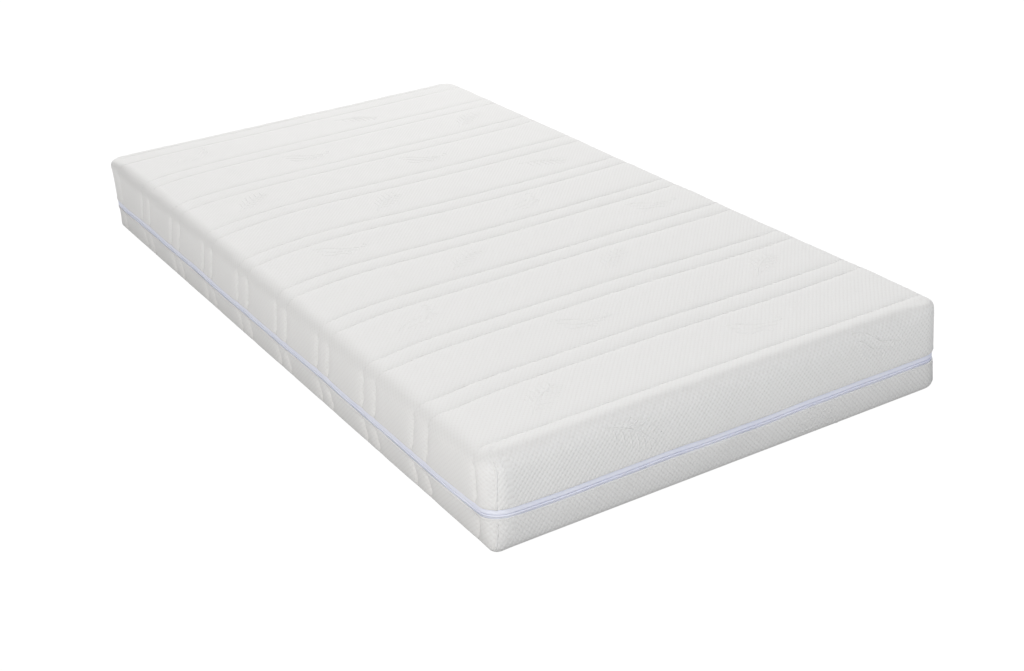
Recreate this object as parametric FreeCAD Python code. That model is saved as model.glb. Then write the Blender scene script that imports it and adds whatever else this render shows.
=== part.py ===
import FreeCAD, Part
import math
import os

# Foam mattress in a zipped, quilted cover. Millimetres.
# X runs across the mattress, Y from the foot end to the head end, Z up.
# The origin is in the middle of the underside.
# "depth" is measured inwards from the outer surface of the closed cover.

# Plan
WIDTH = 1000.0
LENGTH = 2000.0
CORNER_RADIUS = 40.0  # upright corners
SHOULDER_RADIUS = 14.0  # edge round the sleeping side
BASE_RADIUS = 5.0  # edge round the underside
LEAST_RADIUS = 0.8  # smallest round left on an inner layer

# Foam
SUPPORT_CORE = 118.0
MEMORY_LAYER = 40.0
SOCK = 1.0  # stockinette round both foams
SOCK_EASE = 0.2  # sock to foam, on the sides

# Cover laminate, from the outside in
FACE = 2.0  # knitted face
WADDING = 7.2
BACKING = 0.8
COVER_EASE = 0.5  # backing to sock, on the sides
EDGE_EASE = 2.0  # extra round on the foam's edges, so that they clear the cover's

# Zip, all round the sides
LOWER_COVER = 59.0  # from the underside to the lower cover's hem
TAPE_SHOWN = 9.6  # upper tape seen below the upper cover's hem
TAPE = 0.8
TAPE_TUCK = 12.0  # tape held inside the hem
CHAIN_GAP = 1.6  # between the two coils, and between the two tapes
COIL_HEIGHT = 2.8
COIL_THICKNESS = 2.6

# Slider, on the side at +X
SLIDER_LENGTH = 16.0
PLATE = 1.2
LIP = 1.3  # holds a coil in, where the slider is widest
LIP_TAPER = 0.4  # from there to the tail
NOSE_CORNER_LENGTH = 2.4
NOSE_CORNER_WIDTH = 1.8
SLIDER_EASE = 0.3  # to the tapes, coils and pull tab
HEM_EASE = 0.4  # slider to the lower hem
POST_LENGTH = 4.0  # wedge between the two coils, at the nose
POST_EASE = 1.0  # from the wedge to the nose's end
BAIL_WIDTH = 2.6
BAIL_LENGTH = 9.2
BAIL_WALL = 1.0
BAIL_SINK = 0.3  # the bail lies this far behind the cover's surface
PARK_EASE = 2.0  # free run before and after the parked slider
STOP_LENGTH = 3.0
STOP_WALL = 0.6

# Pull tab
TAB_THICKNESS = 1.4
TAB_LENGTH = 24.0
TAB_RAIL = 1.6
TAB_SIDE_EASE = 0.4  # tab to bail, along the hinge
TAB_SWING_EASE = 1.2  # bail to the window's far end, as the tab swings over
TAB_PARK_EASE = 6.0  # from the tab's free end to the head corner's round
TAB_GRIP_HOLE = 2.0  # radius
TAB_CORNER = 1.5

# Stitching
PAIR_PITCH = 214.0  # from one pair of quilting lines to the next
PAIR_GAP = 54.0
FIRST_LINE = 47.5  # from the foot end
THREAD_WIDTH = 1.0
THREAD_HEIGHT = 0.6
STITCH_SINK = 0.2  # the thread lies this far below the surface
STITCH_EASE = 0.2  # each side of the thread
LINE_END = 10.0  # quilting lines stop this far from the shoulder
HEM_STITCH = 3.0  # from the hem to its seam thread
SEAM_WIDTH = 2.4  # ridge at each upright corner
SEAM_PROUD = 1.2
SEAM_END = 6.0  # from the hem to the ridge

# Worked out from those above
COVER = FACE + WADDING + BACKING
HEIGHT = 2 * COVER + 2 * SOCK + SUPPORT_CORE + MEMORY_LAYER
BAIL_HEIGHT = SLIDER_EASE + TAB_THICKNESS + SLIDER_EASE + BAIL_WALL
HINGE_DEPTH = BAIL_SINK + BAIL_WALL + SLIDER_EASE + TAB_THICKNESS / 2
PLATE_DEPTH = BAIL_SINK + BAIL_HEIGHT
PLATE_BACK = PLATE_DEPTH + PLATE
TAPE_DEPTH = PLATE_BACK + SLIDER_EASE
COIL_DEPTH = TAPE_DEPTH + TAPE
COIL_BACK = COIL_DEPTH + COIL_THICKNESS
REAR_DEPTH = COIL_BACK + SLIDER_EASE
FOAM_DEPTH = max(COVER, REAR_DEPTH + PLATE) + COVER_EASE  # outer surface of the sock
CHANNEL = CHAIN_GAP / 2 + COIL_HEIGHT + SLIDER_EASE  # from the chain's middle to a lip
SLIDER_HALF_WIDTH = CHANNEL + LIP
CHAIN_Z = LOWER_COVER + HEM_EASE + SLIDER_HALF_WIDTH
UPPER_HEM = CHAIN_Z + CHAIN_GAP / 2 + TAPE_SHOWN
PARK_Y = LENGTH / 2 - CORNER_RADIUS - TAB_PARK_EASE - TAB_LENGTH
STOP_Y = PARK_Y + SLIDER_LENGTH / 2 + SLIDER_EASE
STITCH_DEPTH = THREAD_HEIGHT + STITCH_SINK
STITCH_WIDTH = THREAD_WIDTH + 2 * STITCH_EASE
REACH = WIDTH + LENGTH + HEIGHT  # longer than anything in the mattress


def span(a, b):
    return min(a, b), max(a, b)


def box(x0, x1, y0, y1, z0, z1):
    return Part.makeBox(x1 - x0, y1 - y0, z1 - z0, FreeCAD.Vector(x0, y0, z0))


def slab(z0, z1):
    return box(-REACH, REACH, -REACH, REACH, z0, z1)


def side_box(depth, inner_depth, y0, y1, z0, z1):
    """Box in the side at +X, between two depths, with Z from the chain's middle."""
    return box(WIDTH / 2 - inner_depth, WIDTH / 2 - depth, y0, y1, CHAIN_Z + z0, CHAIN_Z + z1)


def level(edge, z):
    return all(abs(v.Point.z - z) < 1e-6 for v in edge.Vertexes)


def upright(edge):
    return edge.BoundBox.XLength < 1e-6 and edge.BoundBox.YLength < 1e-6


def prism(depth, z0, z1):
    """Round-cornered column, this depth inside the mattress's sides."""
    x, y = WIDTH / 2 - depth, LENGTH / 2 - depth
    column = box(-x, x, -y, y, z0, z1)
    radius = max(CORNER_RADIUS - depth, LEAST_RADIUS)
    return column.makeFillet(radius, [e for e in column.Edges if upright(e)])


def ring(depth, inner_depth, z0, z1):
    """Upright band that follows the sides, between two depths."""
    return prism(depth, z0, z1).cut(prism(inner_depth, z0 - 1, z1 + 1))


def block(depth, z0, z1, shoulder, base):
    """Column with rounded edges round its top and its bottom."""
    solid = prism(depth, z0, z1)
    solid = solid.makeFillet(shoulder, [e for e in solid.Edges if level(e, z1)])
    return solid.makeFillet(base, [e for e in solid.Edges if level(e, z0)])


def cover_block(depth):
    """Everything inside the cover's surface at this depth."""
    shoulder = max(SHOULDER_RADIUS - depth, LEAST_RADIUS)
    base = max(BASE_RADIUS - depth, LEAST_RADIUS)
    return block(depth, depth, HEIGHT - depth, shoulder, base)


def core_block(skin, ease):
    """The sock's outer surface, or what lies inside it by a skin and its ease."""
    shoulder = max(SHOULDER_RADIUS - COVER, LEAST_RADIUS) + EDGE_EASE
    base = max(BASE_RADIUS - COVER, LEAST_RADIUS) + EDGE_EASE
    return block(FOAM_DEPTH + skin + ease, COVER + skin, HEIGHT - COVER - skin, shoulder, base)


def foam_core():
    foams = core_block(SOCK, SOCK_EASE)
    joint = COVER + SOCK + SUPPORT_CORE
    return {
        "support_core": foams.common(slab(0, joint)),
        "memory_foam_layer": foams.common(slab(joint, HEIGHT)),
        "inner_sock": core_block(0, 0).cut(core_block(SOCK, 0)),
    }


def line_places():
    """Where the quilting lines cross, along Y, in pairs that repeat."""
    clear = SHOULDER_RADIUS + STITCH_WIDTH
    places = []
    for pair in range(math.ceil(LENGTH / PAIR_PITCH) + 1):
        second = FIRST_LINE + pair * PAIR_PITCH
        places += [second - PAIR_GAP, second]
    return [y - LENGTH / 2 for y in places if clear < y < LENGTH - clear]


def line_bars(wide, z0, z1):
    """One bar across the mattress at each quilting line."""
    end = WIDTH / 2 - SHOULDER_RADIUS - LINE_END
    bars = [box(-end, end, y - wide / 2, y + wide / 2, z0, z1) for y in line_places()]
    return Part.makeCompound(bars)


def corner_seams(z0, z1):
    """Sewn ridges up the four corners."""
    band = ring(-SEAM_PROUD, 0, z0, z1)
    x, y = WIDTH / 2 - CORNER_RADIUS, LENGTH / 2 - CORNER_RADIUS
    seams = []
    for sx, sy in ((-1, -1), (-1, 1), (1, -1), (1, 1)):
        fin = box(0, 2 * CORNER_RADIUS, -SEAM_WIDTH / 2, SEAM_WIDTH / 2, z0, z1)
        fin.rotate(FreeCAD.Vector(), FreeCAD.Vector(0, 0, 1), math.degrees(math.atan2(sy, sx)))
        fin.translate(FreeCAD.Vector(sx * x, sy * y, 0))
        seams += band.common(fin).Solids
    return Part.makeCompound(seams)


def cover_half(name, hem, up):
    """The laminate above its hem (up is 1) or below it (up is -1), and its threads."""
    surface = HEIGHT if up > 0 else 0
    edge = SHOULDER_RADIUS if up > 0 else BASE_RADIUS
    half = slab(*span(hem, hem + up * REACH))
    turned_in = ring(-1, TAPE_DEPTH, *span(hem - up, hem + up * FACE))
    tape_slot = ring(TAPE_DEPTH, COIL_DEPTH, *span(hem - up, hem + up * TAPE_TUCK))
    stitch = hem + up * HEM_STITCH

    outside, under_face = cover_block(0), cover_block(FACE)
    under_wadding, inside = cover_block(FACE + WADDING), cover_block(COVER)
    hollow = under_face.common(slab(*span(hem + up * FACE, hem + up * REACH)))
    face = outside.common(half).cut(hollow).cut(prism(TAPE_DEPTH, *span(hem - up, hem + 2 * up * FACE)))
    face = face.cut(ring(-1, STITCH_DEPTH, *span(stitch, stitch + up * STITCH_WIDTH)))
    face = face.cut(line_bars(STITCH_WIDTH, *span(surface + up, surface - up * STITCH_DEPTH)))
    thread = span(stitch + up * STITCH_EASE, stitch + up * (STITCH_EASE + THREAD_WIDTH))
    sunk = span(surface - up * STITCH_SINK, surface - up * STITCH_DEPTH)
    return {
        name + "_cover_face": face,
        name + "_cover_wadding": under_face.common(half).cut(under_wadding).cut(turned_in).cut(tape_slot),
        name + "_cover_backing": under_wadding.common(half).cut(inside),
        name + "_quilt_thread": line_bars(THREAD_WIDTH, *sunk),
        name + "_zip_seam_thread": ring(STITCH_SINK, STITCH_DEPTH, *thread),
        name + "_corner_seams": corner_seams(*span(hem + up * SEAM_END, surface - up * edge)),
    }


def zip_half(name, hem, up):
    """The tape and the coil above the chain's middle (up is 1) or below it (up is -1)."""
    inner = CHAIN_Z + up * CHAIN_GAP / 2
    return {
        "zip_tape_" + name: ring(TAPE_DEPTH, COIL_DEPTH, *span(inner, hem + up * TAPE_TUCK)),
        "zip_coil_" + name: ring(COIL_DEPTH, COIL_BACK, *span(inner, inner + up * COIL_HEIGHT)),
    }


def parking_gap():
    """Where the upper tape and coil leave room for the parked slider."""
    start = PARK_Y - SLIDER_LENGTH / 2 - PARK_EASE
    end = STOP_Y + STOP_LENGTH + PARK_EASE
    return box(0, REACH, start, end, LOWER_COVER, UPPER_HEM)


def end_stop(tape, coil):
    """Clip on the lower coil that the closed slider meets."""
    high = STOP_WALL - CHAIN_GAP / 2
    low = high - COIL_HEIGHT - 2 * STOP_WALL
    front, back = TAPE_DEPTH - STOP_WALL, COIL_BACK + STOP_WALL
    clip = side_box(front, back, STOP_Y, STOP_Y + STOP_LENGTH, low, high)
    return clip.cut(tape).cut(coil)


def slider_plate(depth, inner_depth):
    """Outline of the slider, wide behind its nose, between two depths."""
    half = SLIDER_LENGTH / 2
    outline = [
        (-half, SLIDER_HALF_WIDTH - LIP_TAPER),
        (half - NOSE_CORNER_LENGTH, SLIDER_HALF_WIDTH),
        (half, SLIDER_HALF_WIDTH - NOSE_CORNER_WIDTH),
    ]
    outline += [(y, -z) for y, z in reversed(outline)]
    x = WIDTH / 2 - inner_depth
    corners = [FreeCAD.Vector(x, PARK_Y + y, CHAIN_Z + z) for y, z in outline]
    face = Part.Face(Part.makePolygon(corners + corners[:1]))
    return face.extrude(FreeCAD.Vector(inner_depth - depth, 0, 0))


def slider_body():
    """Two plates that hold the coils between lips, joined by the wedge at the nose."""
    half = SLIDER_LENGTH / 2
    lips = slider_plate(COIL_DEPTH + SLIDER_EASE, REAR_DEPTH).cut(
        side_box(0, REACH, PARK_Y - half, PARK_Y + half, -CHANNEL, CHANNEL)
    )
    thin = CHAIN_GAP / 2 - SLIDER_EASE
    nose = PARK_Y + half - POST_EASE
    post = side_box(PLATE_BACK, REAR_DEPTH, nose - POST_LENGTH, nose, -thin, thin)
    reach, wide = BAIL_LENGTH / 2, BAIL_WIDTH / 2
    bail = side_box(BAIL_SINK, PLATE_DEPTH, PARK_Y - reach, PARK_Y + reach, -wide, wide)
    inner, under = reach - BAIL_WALL, BAIL_SINK + BAIL_WALL
    eye = side_box(under, PLATE_DEPTH, PARK_Y - inner, PARK_Y + inner, -wide, wide)
    body = slider_plate(PLATE_DEPTH, PLATE_BACK).fuse(
        [slider_plate(REAR_DEPTH, REAR_DEPTH + PLATE), lips, post, bail.cut(eye)]
    )
    return body.removeSplitter()


def pull_tab():
    """Flat tab whose end bar hangs in the slider's bail. It lies along +Y."""
    rail = BAIL_WIDTH / 2 + TAB_SIDE_EASE
    wide, round_end = rail + TAB_RAIL, TAB_THICKNESS / 2
    front, back = HINGE_DEPTH - round_end, HINGE_DEPTH + round_end
    far = PARK_Y + TAB_LENGTH
    plate = side_box(front, back, PARK_Y, far, -wide, wide)
    ends = [e for e in plate.Edges if e.BoundBox.XLength > 1e-6 and e.BoundBox.YMin > far - 1e-6]
    plate = plate.makeFillet(
        TAB_CORNER, [e for e in ends if e.BoundBox.ZLength < 1e-6 and e.BoundBox.YLength < 1e-6]
    )
    hinge = FreeCAD.Vector(WIDTH / 2 - HINGE_DEPTH, PARK_Y, CHAIN_Z - wide)
    bar = Part.makeCylinder(round_end, 2 * wide, hinge, FreeCAD.Vector(0, 0, 1))
    window_end = PARK_Y + math.hypot(BAIL_LENGTH / 2, HINGE_DEPTH - BAIL_SINK) + TAB_SWING_EASE
    window = side_box(front, back, PARK_Y + round_end, window_end, -rail, rail)
    grip = FreeCAD.Vector(WIDTH / 2 - back, far - 3 * TAB_GRIP_HOLE, CHAIN_Z)
    hole = Part.makeCylinder(TAB_GRIP_HOLE, TAB_THICKNESS, grip, FreeCAD.Vector(1, 0, 0))
    return plate.fuse(bar).cut(window).cut(hole).removeSplitter()


def mattress():
    nodes = foam_core()
    nodes.update(cover_half("upper", UPPER_HEM, 1))
    nodes.update(cover_half("lower", LOWER_COVER, -1))
    nodes.update(zip_half("upper", UPPER_HEM, 1))
    nodes.update(zip_half("lower", LOWER_COVER, -1))
    for piece in ("zip_tape_upper", "zip_coil_upper"):
        nodes[piece] = nodes[piece].cut(parking_gap())
    nodes["zip_end_stop"] = end_stop(nodes["zip_tape_lower"], nodes["zip_coil_lower"])
    nodes["zip_slider_body"] = slider_body()
    nodes["zip_pull_tab"] = pull_tab()
    return nodes


os.makedirs("parts", exist_ok=True)
for node, shape in mattress().items():
    print(node, len(shape.Solids), "solids", round(shape.Volume), "mm3", shape.isValid())
    shape.exportStep(os.path.join("parts", node + ".step"))
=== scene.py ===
import math
import bmesh
import bpy
import numpy as np
from mathutils import Matrix, Vector


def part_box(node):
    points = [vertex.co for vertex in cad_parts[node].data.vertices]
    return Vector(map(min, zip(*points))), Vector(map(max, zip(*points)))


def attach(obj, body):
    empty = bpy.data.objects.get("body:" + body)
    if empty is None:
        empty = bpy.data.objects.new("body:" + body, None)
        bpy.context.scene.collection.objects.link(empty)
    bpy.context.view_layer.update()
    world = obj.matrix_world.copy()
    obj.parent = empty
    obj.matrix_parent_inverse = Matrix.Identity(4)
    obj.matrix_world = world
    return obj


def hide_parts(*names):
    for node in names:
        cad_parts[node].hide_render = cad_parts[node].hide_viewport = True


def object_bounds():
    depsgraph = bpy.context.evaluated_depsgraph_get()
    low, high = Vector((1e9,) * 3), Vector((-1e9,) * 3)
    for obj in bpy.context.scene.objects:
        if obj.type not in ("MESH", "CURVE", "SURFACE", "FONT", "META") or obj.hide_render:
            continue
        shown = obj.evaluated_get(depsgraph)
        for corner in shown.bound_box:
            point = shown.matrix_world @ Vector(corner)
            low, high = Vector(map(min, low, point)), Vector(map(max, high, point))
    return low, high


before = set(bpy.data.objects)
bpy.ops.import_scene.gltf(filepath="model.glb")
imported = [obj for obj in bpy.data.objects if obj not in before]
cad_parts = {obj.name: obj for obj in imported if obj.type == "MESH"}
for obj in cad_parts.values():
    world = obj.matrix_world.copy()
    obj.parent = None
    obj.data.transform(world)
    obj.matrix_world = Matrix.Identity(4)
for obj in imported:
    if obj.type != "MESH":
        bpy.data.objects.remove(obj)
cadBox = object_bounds()
mm = 0.001
print("frame loaded with", len(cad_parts), "nodes")

# Foam mattress in a zipped, quilted cover. Everything below is in millimetres until it becomes a mesh.
# X runs across, Y from the foot end to the head end, Z up.
# A place on the cloth is (p, q): p across and q along, both measured on the cloth over the rounded edges.
# "along" runs round the sides from the foot end's left corner, "depth" goes in from the cover's surface.

mattress = {
    "halfX": cadBox[1].x / mm,
    "halfY": cadBox[1].y / mm,
    "radius": 40.0,  # upright corners
    "height": cadBox[1].z / mm,
}
# where the long sides and the ends begin to turn into the corners
cornerX = mattress["halfX"] - mattress["radius"]
cornerY = mattress["halfY"] - mattress["radius"]
quilting = {
    "pitch": 214.0,  # from one pair of lines to the next
    "gap": 54.0,  # inside a pair
    "first": 47.5,  # the second line of the first pair, from the foot end
    "pairs": 10,
    "footLine": -994.6,  # the line that lies on the foot end's rounded edge
    "nextDrift": 8.0,  # the line beside it has drifted in from the edge
    # each furrow's depth at the foot and at the head end, its reach to each side, and how round it is
    "needle": (0.3, 0.3, 1.5, 0.16),
    "soft": (3.24, 1.29, 9.0, 0.16),  # the wadding pulled down
    "wall": (8.004, 5.244, 6.2, 0.5),  # the narrower grooves on the long sides
    "below": (9.8, 9.8, 7.5, 1.5),  # under the zip, where the cloth hangs slack
    "shallower": (-300.0, 950.0),  # along the mattress, from the first depth to the second
    "footDip": 0.4,  # the foot end's line is only a wide, shallow dip
    "footReach": 13.0,
}


def linesOfQuilting():
    lines = []
    for pair in range(quilting["pairs"]):
        second = quilting["first"] + pair * quilting["pitch"] - mattress["halfY"]
        lines += [second - quilting["gap"], second]
    lines[0] = quilting["footLine"]
    lines[1] += quilting["nextDrift"]
    return np.array(lines)


quiltLines = linesOfQuilting()


def knotsOf(plan):
    # where each straight side and each corner begins, going round
    arc = plan["radius"] * math.pi / 2
    cx = plan["halfX"] - plan["radius"]
    cy = plan["halfY"] - plan["radius"]
    return np.concatenate([[0.0], np.cumsum([2 * cx, arc, 2 * cy, arc, 2 * cx, arc, 2 * cy, arc])])


def outline(plan, along, depth=0.0):
    # a point on a round-cornered rectangle, and the way the side faces there
    cx = plan["halfX"] - plan["radius"]
    cy = plan["halfY"] - plan["radius"]
    marks = knotsOf(plan)
    x = np.interp(along, marks, [-cx, cx, cx, cx, cx, -cx, -cx, -cx, -cx])
    y = np.interp(along, marks, [-cy, -cy, -cy, cy, cy, cy, cy, -cy, -cy])
    turn = np.radians(np.interp(along, marks, [-90, -90, 0, 0, 90, 90, 180, 180, 270]))
    nx = np.cos(turn)
    ny = np.sin(turn)
    reach = plan["radius"] - depth
    return x + nx * reach, y + ny * reach, nx, ny


knots = knotsOf(mattress)
cornerMiddles = {first: (knots[first] + knots[first + 1]) / 2 for first in (1, 3, 5, 7)}
roundTheSides = knots[-1]


def smooth(value, low, high):
    t = np.clip((value - low) / (high - low), 0.0, 1.0)
    return t * t * (3 - 2 * t)


def gapRound(along, place):
    # signed distance round the sides, the shorter way
    return np.mod(along - place + roundTheSides / 2, roundTheSides) - roundTheSides / 2


def ripples(a, b, wavelength, seed, count=7):
    # a gentle random swell, the same every run
    dice = np.random.RandomState(seed)
    total = np.zeros(np.broadcast(a, b).shape)
    for _ in range(count):
        heading = dice.uniform(0, 2 * math.pi)
        length = wavelength * dice.uniform(0.75, 1.5)
        phase = dice.uniform(0, 2 * math.pi)
        total += np.sin(2 * math.pi * (a * math.cos(heading) + b * math.sin(heading)) / length + phase)
    return total / math.sqrt(count)


# How the quilting lines stray from straight: one row for each pair, one number at each place across.
# The places run from the hem at -X, up that side, over its shoulder and the top, to the hem at +X.
strayAcross = [-588, -551, -515, -480, -440, -400, -350, -300, -200]
strayAcross += [-100, 0, 100, 200, 300, 400, 440, 500, 588]
strayOfPairs = [
    [17, 14, 10, 1, -1, 4, 7, 8, 9, 10, 10, 8, 6, 6, 8, 8, 8, 10],
    [31, 21, 9, -3, 0, 7, 12, 15, 17, 19, 21, 20, 18, 18, 19, 21, 22, 31],
    [22, 13, 0, -8, 0, 8, 14, 15, 18, 21, 25, 25, 22, 20, 20, 20, 20, 29],
    [18, 8, -8, -8, 4, 12, 19, 20, 21, 21, 24, 25, 26, 25, 24, 23, 24, 31],
    [12, -1, -16, -11, 3, 12, 19, 22, 21, 17, 13, 14, 18, 22, 22, 22, 23, 29],
    [12, -2, -19, -16, 0, 11, 20, 26, 27, 21, 13, 9, 7, 9, 12, 14, 15, 27],
    [14, 0, -19, -17, -1, 9, 18, 26, 32, 29, 24, 20, 17, 16, 16, 16, 17, 25],
    [10, -2, -24, -15, 4, 12, 18, 21, 23, 22, 20, 19, 18, 18, 20, 20, 23, 31],
    [7, -7, -28, -18, -2, 6, 12, 17, 21, 20, 18, 18, 18, 18, 17, 18, 19, 28],
    [5, -2, -15, -10, 1, 5, 9, 10, 12, 11, 10, 10, 10, 10, 11, 12, 12, 18],
]
# Under the zip they lean the other way, and run straight again on the underside.
strayBelowAcross = [-551, -502, -487, -400, 0, 400, 487, 502, 551]
straightFromEnds = 100  # they grow straight over this length before both ends


def strayTable(places, rows, ease):
    # the rows drawn finer, with their bends eased
    step = 4.0
    fine = np.arange(places[0] - 2 * ease, places[-1] + 2 * ease, step)
    kernel = np.hanning(int(ease / step) * 2 + 3)
    kernel /= kernel.sum()
    table = []
    for row in rows:
        line = np.interp(fine, places, row)
        pad = len(kernel) // 2
        table.append(np.convolve(np.pad(line, pad, mode="edge"), kernel, mode="valid"))
    return fine, np.array(table)


def strayRowsBelow():
    left = np.array([9, -11, -12])
    return [[*(row[0] + left), 0, 0, 0, *(row[-1] + left[::-1])] for row in strayOfPairs]


halves = {
    "upper": {
        "plane": mattress["height"],
        "up": 1,
        "edge": 34.0,  # soft shoulder at -X and at the foot end
        "crispEdge": 14.0,  # at +X and at the head end
        "hem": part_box("upper_cover_face")[0].z / mm,
        "stray": strayTable(strayAcross, strayOfPairs, 36),
        "hemEase": 19.0,  # furrows flatten this close to the hem
    },
    "lower": {
        "plane": 0.0,
        "up": -1,
        "edge": 14.0,
        "crispEdge": 14.0,
        "hem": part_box("lower_cover_face")[1].z / mm,
        "stray": strayTable(strayBelowAcross, strayRowsBelow(), 16),
        "hemEase": 12.0,
    },
}
for half in halves.values():
    half["arc"] = half["edge"] * math.pi / 2
    half["flatX"] = mattress["halfX"] - half["edge"]
    half["flatY"] = mattress["halfY"] - half["edge"]
    half["deep"] = abs(half["plane"] - half["hem"])  # from the flat face to the hem


def stray(half, p, q):
    # how far the cloth has shifted along Y where the flat pattern says (p, q)
    fine, table = half["stray"]
    firstPair = quilting["first"] - quilting["gap"] / 2
    pair = np.clip((q + mattress["halfY"] - firstPair) / quilting["pitch"], 0, len(table) - 1.001)
    place = np.clip((p - fine[0]) / (fine[1] - fine[0]), 0, len(fine) - 1.001)
    i = pair.astype(int)
    j = place.astype(int)
    a = pair - i
    b = place - j
    low = table[i, j] * (1 - b) + table[i, j + 1] * b
    high = table[i + 1, j] * (1 - b) + table[i + 1, j + 1] * b
    return (low * (1 - a) + high * a) * smooth(cornerY - np.abs(q), 0, straightFromEnds)


zipBand = {
    "depth": 2.5,  # of the tapes behind the cover's surface
    "sliderDepth": 4.8,  # and on the side at +X, where the slider runs
    "waves": ((1.25, 7, 0.6), (0.8, 17, 2.1), (0.35, 41, 0)),  # height, number round the sides, phase
    "cornerRise": 4.0,  # at both corners at -X
    "cornerReach": 42.0,
    "calmBefore": 220.0,  # the band runs true at +X and gets its waves back over this length
}


def hemWave(along):
    # the zip's band rises and falls a little, but runs true where the slider travels
    wave = 0.0
    for height, number, phase in zipBand["waves"]:
        wave = wave + height * np.sin(2 * math.pi * number * along / roundTheSides + phase)
    for first in (5, 7):
        away = gapRound(along, cornerMiddles[first]) / zipBand["cornerReach"]
        wave += zipBand["cornerRise"] * np.exp(-(away ** 2))
    fromSlider = np.maximum(knots[1] - along, along - knots[4])
    return wave * smooth(fromSlider, 0, zipBand["calmBefore"])


def sliderSide(along):
    # 1 on the side at +X, where the slider runs, and 0 on the others
    return smooth(along, knots[2] - 6, knots[2] + 14) * (1 - smooth(along, knots[3] - 14, knots[3] + 6))


def tapeDepth(along):
    return zipBand["depth"] + (zipBand["sliderDepth"] - zipBand["depth"]) * sliderSide(along)


drape = {
    "wallFrom": (38.0, 54.0),  # how far down the grooves of the upper walls take over
    "slackFrom": (10.0, 24.0),  # and those of the lower walls
    "shoulder": 0.75,  # share of a furrow lost where the cloth is pulled over the shoulder
    "shoulderReach": 24.0,
    "swells": ((0.45, 330, 11), (0.16, 74, 12)),  # slow unevenness: height, wavelength, seed
    "wallSwell": (0.5, 150, 13),
    "wallSwellFrom": (0, 40),  # how far down it takes to come in
    "seamCalm": (2.0, 34.0),  # the cloth is held at the corner seams
    "seamDip": 0.9,
    "seamReach": 9.0,
    "dent": (1.6, 185.0, -1051.0, 60.0, 16.0),  # over the foot end's zip: depth, p, q, reach across and up
    "pressed": (0.85, 9.0, 16.0),  # the base edge carries the weight: share, how far down, reach
    "undersideMost": 0.2,
    "hemKeep": 0.26,  # share of a furrow left at the hem, where the tape behind it holds the cloth
    "hemEnd": 1.5,
    "hemDip": 0.6,
    "hemReach": 9.0,
}


def furrow(kind, q, line):
    atFoot, atHead, reach, roundness = quilting[kind]
    deep = atFoot + (atHead - atFoot) * smooth(line, *quilting["shallower"])
    return deep * np.exp(-np.sqrt((q - line) ** 2 + roundness) / reach)


def relief(half, p, q, seamGap):
    # height of the cloth over the plain rounded block
    sideWall = np.abs(p) > half["flatX"]
    down = np.maximum(np.abs(p) - half["flatX"], np.abs(q) - half["flatY"])
    onWall = smooth(down, *drape["wallFrom"]) * sideWall
    slack = smooth(down, *drape["slackFrom"]) * sideWall
    fromShoulder = (down - half["arc"] / 2) / drape["shoulderReach"]
    eased = 1 - drape["shoulder"] * np.exp(-(fromShoulder ** 2))
    height = -quilting["footDip"] * np.exp(-(((q - quiltLines[0]) / quilting["footReach"]) ** 2))
    height = height + np.zeros(np.broadcast(p, q).shape)
    for line in quiltLines[1:]:
        sewn = furrow("needle", q, line) + furrow("soft", q, line)
        if half["up"] > 0:
            height -= sewn * eased * (1 - onWall) + furrow("wall", q, line) * onWall
        else:
            height -= sewn * (1 - slack) + furrow("below", q, line) * slack
    for swell, wavelength, seed in drape["swells"]:
        height += swell * ripples(p, q, wavelength, seed)
    swell, wavelength, seed = drape["wallSwell"]
    height += swell * ripples(p, q, wavelength, seed) * smooth(down, *drape["wallSwellFrom"])
    height *= smooth(seamGap, *drape["seamCalm"])
    height -= drape["seamDip"] * np.exp(-((seamGap / drape["seamReach"]) ** 2))
    if half["up"] > 0:
        deep, midP, midQ, wide, tall = drape["dent"]
        height -= deep * np.exp(-(((p - midP) / wide) ** 2) - (((q - midQ) / tall) ** 2))
    else:
        share, middle, reach = drape["pressed"]
        height *= 1 - share * np.exp(-(((down - middle) / reach) ** 2))
        height = np.where(down < 0, np.minimum(height, drape["undersideMost"]), height)
    toHem = half["arc"] + half["deep"] - half["edge"] - down
    keep = drape["hemKeep"] + (1 - drape["hemKeep"]) * smooth(toHem, drape["hemEnd"], half["hemEase"])
    height = np.where(height < 0, height * keep, height)
    return height - drape["hemDip"] * (1 - smooth(toHem, 0, drape["hemReach"]))


def wallCloth(half, along, down, side):
    # (p, q) on a side's cloth; side 0 is the foot end, 1 +X, 2 the head end, 3 -X
    if side == 0:
        wrapped = np.where(along > knots[6], along - knots[8], along)
        return wrapped - cornerX, -(half["flatY"] + down)
    if side == 1:
        return half["flatX"] + down, along - knots[2] - cornerY
    if side == 2:
        return cornerX - (along - knots[4]), half["flatY"] + down
    return -(half["flatX"] + down), cornerY - (along - knots[6])


def sideOf(along):
    side = np.zeros(np.shape(along), int)
    for first, number in ((1, 1), (3, 2), (5, 3), (7, 0)):
        side[along > cornerMiddles[first]] = number
    return side


def seamGapAt(along):
    # distance round the side to the nearest corner seam
    return np.min([np.abs(gapRound(along, middle)) for middle in cornerMiddles.values()], axis=0)


def seamSlant(half, along, down):
    # each corner seam leans a little round its corner as it climbs
    level = half["plane"] - half["up"] * down
    slant = np.zeros(np.shape(along))
    share = np.clip(level / cornerLean["height"], 0, 1) * smooth(down, 0, half["arc"] + 6)
    for first, lean in cornerLean["lean"].items():
        away = gapRound(along, cornerMiddles[first]) / cornerLean["reach"]
        slant += lean * share * np.exp(-(away ** 2))
    return slant


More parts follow.
